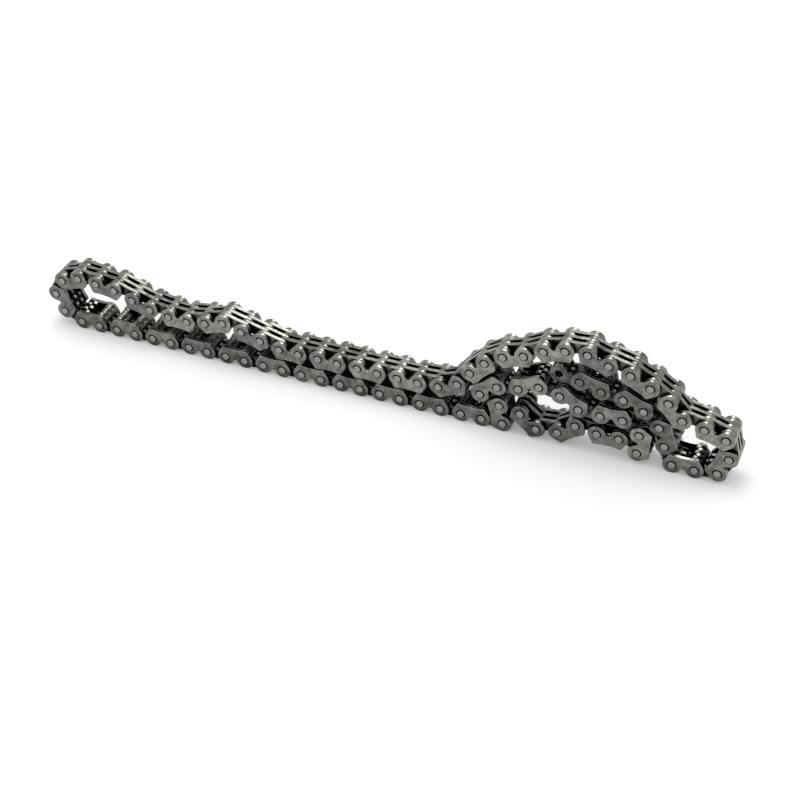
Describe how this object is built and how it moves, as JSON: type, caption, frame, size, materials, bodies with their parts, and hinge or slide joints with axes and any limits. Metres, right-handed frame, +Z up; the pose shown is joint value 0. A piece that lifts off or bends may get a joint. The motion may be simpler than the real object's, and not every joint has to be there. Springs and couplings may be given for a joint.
{
  "type": "inverted-tooth timing chain",
  "caption": "Motorcycle inverted-tooth timing chain of stacked toothed plates and riveted guide plates, lying loose in a folded loop and open at one pivot.",
  "frame": {"origin": "centre of the bounding box's bottom face, on the floor that the chain lies on", "axes": "+X along the lying chain, from the long loop to the pile, +Y along the pins, away from the viewer of the picture, +Z up"},
  "size_m": [0.2176, 0.0092, 0.0361],
  "materials": {
    "plate_steel": "satin",
    "pin_steel": "satin"
  },
  "bodies": {
    "open_end": {"end_toothed_front": "plate_steel", "end_toothed_middle": "plate_steel", "end_toothed_rear": "plate_steel", "end_guide_front": "plate_steel", "end_guide_rear": "plate_steel", "end_inner_front": "plate_steel", "end_inner_rear": "plate_steel", "end_pin_first": "pin_steel", "end_pin_second": "pin_steel"},
    "link_02": {"link_02": "plate_steel"},
    "link_03": {"link_03": "plate_steel"},
    "link_04_toothed": {"link_04_toothed": "plate_steel"},
    "link_04_guide": {"link_04_guide": "plate_steel"},
    "link_05_toothed": {"link_05_toothed": "plate_steel"},
    "link_05_guide": {"link_05_guide": "plate_steel"},
    "link_06": {"link_06": "plate_steel"},
    "link_07": {"link_07": "plate_steel"},
    "link_08": {"link_08": "plate_steel"},
    "link_09": {"link_09": "plate_steel"},
    "link_10": {"link_10": "plate_steel"},
    "link_11": {"link_11": "plate_steel"},
    "link_12": {"link_12": "plate_steel"},
    "link_13": {"link_13": "plate_steel"},
    "link_14": {"link_14": "plate_steel"},
    "link_15": {"link_15": "plate_steel"},
    "link_16": {"link_16": "plate_steel"},
    "link_17": {"link_17": "plate_steel"},
    "link_18": {"link_18": "plate_steel"},
    "link_19": {"link_19": "plate_steel"},
    "link_20": {"link_20": "plate_steel"},
    "link_21": {"link_21": "plate_steel"},
    "link_22": {"link_22": "plate_steel"},
    "link_23_toothed": {"link_23_toothed": "plate_steel"},
    "link_23_guide": {"link_23_guide": "plate_steel"},
    "link_24_toothed": {"link_24_toothed": "plate_steel"},
    "link_24_guide": {"link_24_guide": "plate_steel"},
    "link_25_toothed": {"link_25_toothed": "plate_steel"},
    "link_25_guide": {"link_25_guide": "plate_steel"},
    "link_26": {"link_26": "plate_steel"},
    "link_27": {"link_27": "plate_steel"},
    "link_28": {"link_28": "plate_steel"},
    "link_29": {"link_29": "plate_steel"},
    "link_30": {"link_30": "plate_steel"},
    "link_31": {"link_31": "plate_steel"},
    "link_32": {"link_32": "plate_steel"},
    "link_33": {"link_33": "plate_steel"},
    "link_34": {"link_34": "plate_steel"},
    "link_35": {"link_35": "plate_steel"},
    "link_36_toothed": {"link_36_toothed": "plate_steel"},
    "link_36_guide": {"link_36_guide": "plate_steel"},
    "link_37_toothed": {"link_37_toothed": "plate_steel"},
    "link_37_guide": {"link_37_guide": "plate_steel"},
    "link_38": {"link_38": "plate_steel"},
    "link_39": {"link_39": "plate_steel"},
    "link_40": {"link_40": "plate_steel"},
    "link_41_toothed": {"link_41_toothed": "plate_steel"},
    "link_41_guide": {"link_41_guide": "plate_steel"},
    "link_42": {"link_42": "plate_steel"},
    "link_43": {"link_43": "plate_steel"},
    "link_44": {"link_44": "plate_steel"}
  },
  "joints": [
    {"name": "pivot_01", "type": "hinge", "parent": "link_02", "child": "open_end", "pos_m": [0.06948, 0, 0.02218], "axis": [0, -1, 0], "range_deg": [-1.2, 0.6]},
    {"name": "pivot_02", "type": "hinge", "parent": "link_03", "child": "link_02", "pos_m": [0.08164, 0, 0.0188], "axis": [0, -1, 0], "range_deg": [-0.64, 0.3]},
    {"name": "pivot_03", "type": "hinge", "parent": "link_04_toothed", "child": "link_03", "pos_m": [0.08832, 0, 0.00852], "axis": [0, -1, 0], "range_deg": [0, 0.2]},
    {"name": "pivot_04", "type": "hinge", "parent": "link_04_guide", "child": "link_04_toothed", "pos_m": [0.09091, 0, 0.00271], "axis": [0, -1, 0], "range_deg": [0, 0.15]},
    {"name": "pivot_05", "type": "hinge", "parent": "link_05_toothed", "child": "link_04_guide", "pos_m": [0.09726, 0, 0.00271], "axis": [0, -1, 0], "range_deg": [0, 0.15]},
    {"name": "pivot_06", "type": "hinge", "parent": "link_05_guide", "child": "link_05_toothed", "pos_m": [0.10356, 0, 0.00349], "axis": [0, -1, 0], "range_deg": [0, 0.15]},
    {"name": "pivot_07", "type": "hinge", "parent": "link_06", "child": "link_05_guide", "pos_m": [0.10614, 0, 0.00929], "axis": [0, -1, 0], "range_deg": [0, 0.15]},
    {"name": "pivot_08", "type": "hinge", "parent": "link_07", "child": "link_06", "pos_m": [0.09857, 0, 0.01741], "axis": [0, -1, 0], "range_deg": [0, 0.15]},
    {"name": "pivot_09", "type": "hinge", "parent": "link_08", "child": "link_07", "pos_m": [0.08811, 0, 0.02345], "axis": [0, -1, 0], "range_deg": [0, 0.2]},
    {"name": "pivot_10", "type": "hinge", "parent": "link_09", "child": "link_08", "pos_m": [0.07718, 0, 0.02989], "axis": [0, -1, 0], "range_deg": [0, 0.35]},
    {"name": "pivot_11", "type": "hinge", "parent": "link_10", "child": "link_09", "pos_m": [0.06502, 0, 0.03349], "axis": [0, -1, 0], "range_deg": [0, 1.4]},
    {"name": "pivot_12", "type": "hinge", "parent": "link_11", "child": "link_10", "pos_m": [0.05258, 0, 0.0313], "axis": [0, -1, 0], "range_deg": [0, 20]},
    {"name": "pivot_13", "type": "hinge", "parent": "link_12", "child": "link_11", "pos_m": [0.04099, 0, 0.02626], "axis": [0, -1, 0], "range_deg": [0, 20]},
    {"name": "pivot_14", "type": "hinge", "parent": "link_13", "child": "link_12", "pos_m": [0.03139, 0, 0.01806], "axis": [0, -1, 0], "range_deg": [0, 20]},
    {"name": "pivot_15", "type": "hinge", "parent": "link_14", "child": "link_13", "pos_m": [0.02181, 0, 0.01044], "axis": [0, -1, 0], "range_deg": [0, 20]},
    {"name": "pivot_16", "type": "hinge", "parent": "link_15", "child": "link_14", "pos_m": [0.00913, 0, 0.01], "axis": [0, -1, 0], "range_deg": [0, 12]},
    {"name": "pivot_17", "type": "hinge", "parent": "link_16", "child": "link_15", "pos_m": [-0.00357, 0, 0.01], "axis": [0, -1, 0], "range_deg": [0, 12]},
    {"name": "pivot_18", "type": "hinge", "parent": "link_17", "child": "link_16", "pos_m": [-0.01627, 0, 0.01], "axis": [0, -1, 0], "range_deg": [0, 12]},
    {"name": "pivot_19", "type": "hinge", "parent": "link_18", "child": "link_17", "pos_m": [-0.02897, 0, 0.01], "axis": [0, -1, 0], "range_deg": [0, 12]},
    {"name": "pivot_20", "type": "hinge", "parent": "link_19", "child": "link_18", "pos_m": [-0.04124, 0, 0.01329], "axis": [0, -1, 0], "range_deg": [0, 12]},
    {"name": "pivot_21", "type": "hinge", "parent": "link_20", "child": "link_19", "pos_m": [-0.0535, 0, 0.01329], "axis": [0, -1, 0], "range_deg": [0, 12]},
    {"name": "pivot_22", "type": "hinge", "parent": "link_21", "child": "link_20", "pos_m": [-0.0661, 0, 0.01252], "axis": [0, -1, 0], "range_deg": [0, 12]},
    {"name": "pivot_23", "type": "hinge", "parent": "link_22", "child": "link_21", "pos_m": [-0.07841, 0, 0.01547], "axis": [0, -1, 0], "range_deg": [0, 12]},
    {"name": "pivot_24", "type": "hinge", "parent": "link_23_toothed", "child": "link_22", "pos_m": [-0.09067, 0, 0.01853], "axis": [0, -1, 0], "range_deg": [0, 30]},
    {"name": "pivot_25", "type": "hinge", "parent": "link_23_guide", "child": "link_23_toothed", "pos_m": [-0.097, 0, 0.01897], "axis": [0, -1, 0], "range_deg": [0, 30]},
    {"name": "pivot_26", "type": "hinge", "parent": "link_24_toothed", "child": "link_23_guide", "pos_m": [-0.10297, 0, 0.0168], "axis": [0, -1, 0], "range_deg": [0, 30]},
    {"name": "pivot_27", "type": "hinge", "parent": "link_24_guide", "child": "link_24_toothed", "pos_m": [-0.10614, 0, 0.0113], "axis": [0, -1, 0], "range_deg": [0, 30]},
    {"name": "pivot_28", "type": "hinge", "parent": "link_25_toothed", "child": "link_24_guide", "pos_m": [-0.10397, 0, 0.00533], "axis": [0, -1, 0], "range_deg": [0, 30]},
    {"name": "pivot_29", "type": "hinge", "parent": "link_25_guide", "child": "link_25_toothed", "pos_m": [-0.09822, 0, 0.00265], "axis": [0, -1, 0], "range_deg": [0, 30]},
    {"name": "pivot_30", "type": "hinge", "parent": "link_26", "child": "link_25_guide", "pos_m": [-0.09187, 0, 0.00265], "axis": [0, -1, 0], "range_deg": [0, 12]},
    {"name": "pivot_31", "type": "hinge", "parent": "link_27", "child": "link_26", "pos_m": [-0.07917, 0, 0.00265], "axis": [0, -1, 0], "range_deg": [0, 12]},
    {"name": "pivot_32", "type": "hinge", "parent": "link_28", "child": "link_27", "pos_m": [-0.06647, 0, 0.00265], "axis": [0, -1, 0], "range_deg": [0, 12]},
    {"name": "pivot_33", "type": "hinge", "parent": "link_29", "child": "link_28", "pos_m": [-0.05377, 0, 0.00265], "axis": [0, -1, 0], "range_deg": [0, 12]},
    {"name": "pivot_34", "type": "hinge", "parent": "link_30", "child": "link_29", "pos_m": [-0.04107, 0, 0.00265], "axis": [0, -1, 0], "range_deg": [0, 12]},
    {"name": "pivot_35", "type": "hinge", "parent": "link_30", "child": "link_31", "pos_m": [-0.02837, 0, 0.00265], "axis": [0, 1, 0], "range_deg": [0, 12]},
    {"name": "pivot_36", "type": "hinge", "parent": "link_31", "child": "link_32", "pos_m": [-0.01567, 0, 0.00265], "axis": [0, 1, 0], "range_deg": [0, 12]},
    {"name": "pivot_37", "type": "hinge", "parent": "link_32", "child": "link_33", "pos_m": [-0.00297, 0, 0.00265], "axis": [0, 1, 0], "range_deg": [0, 12]},
    {"name": "pivot_38", "type": "hinge", "parent": "link_33", "child": "link_34", "pos_m": [0.00973, 0, 0.00265], "axis": [0, 1, 0], "range_deg": [0, 12]},
    {"name": "pivot_39", "type": "hinge", "parent": "link_34", "child": "link_35", "pos_m": [0.02243, 0, 0.00265], "axis": [0, 1, 0], "range_deg": [0, 12]},
    {"name": "pivot_40", "type": "hinge", "parent": "link_35", "child": "link_36_toothed", "pos_m": [0.03513, 0, 0.00265], "axis": [0, 1, 0], "range_deg": [0, 12]},
    {"name": "pivot_41", "type": "hinge", "parent": "link_36_toothed", "child": "link_36_guide", "pos_m": [0.04148, 0, 0.00265], "axis": [0, 1, 0], "range_deg": [0, 2.25]},
    {"name": "pivot_42", "type": "hinge", "parent": "link_36_guide", "child": "link_37_toothed", "pos_m": [0.04038, 0, 0.0089], "axis": [0, 1, 0], "range_deg": [0, 0.85]},
    {"name": "pivot_43", "type": "hinge", "parent": "link_37_toothed", "child": "link_37_guide", "pos_m": [0.03458, 0, 0.01148], "axis": [0, 1, 0], "range_deg": [0, 0.6]},
    {"name": "pivot_44", "type": "hinge", "parent": "link_37_guide", "child": "link_38", "pos_m": [0.03958, 0, 0.01539], "axis": [0, 1, 0], "range_deg": [0, 0.2]},
    {"name": "pivot_45", "type": "hinge", "parent": "link_38", "child": "link_39", "pos_m": [0.05177, 0, 0.01877], "axis": [0, 1, 0], "range_deg": [0, 0.15]},
    {"name": "pivot_46", "type": "hinge", "parent": "link_39", "child": "link_40", "pos_m": [0.06342, 0, 0.01418], "axis": [0, 1, 0], "range_deg": [0, 0.4]},
    {"name": "pivot_47", "type": "hinge", "parent": "link_40", "child": "link_41_toothed", "pos_m": [0.07611, 0, 0.01407], "axis": [0, 1, 0], "range_deg": [0, 0.5]},
    {"name": "pivot_48", "type": "hinge", "parent": "link_41_toothed", "child": "link_41_guide", "pos_m": [0.08111, 0, 0.01016], "axis": [0, 1, 0], "range_deg": [0, 0.6]},
    {"name": "pivot_49", "type": "hinge", "parent": "link_41_guide", "child": "link_42", "pos_m": [0.08089, 0, 0.00381], "axis": [0, 1, 0], "range_deg": [0, 0.6]},
    {"name": "pivot_50", "type": "hinge", "parent": "link_42", "child": "link_43", "pos_m": [0.06916, 0, 0.00718], "axis": [0, 1, 0], "range_deg": [-0.5, 1.5]},
    {"name": "pivot_51", "type": "hinge", "parent": "link_43", "child": "link_44", "pos_m": [0.05781, 0, 0.00435], "axis": [0, 1, 0], "range_deg": [-0.5, 3]}
  ]
}
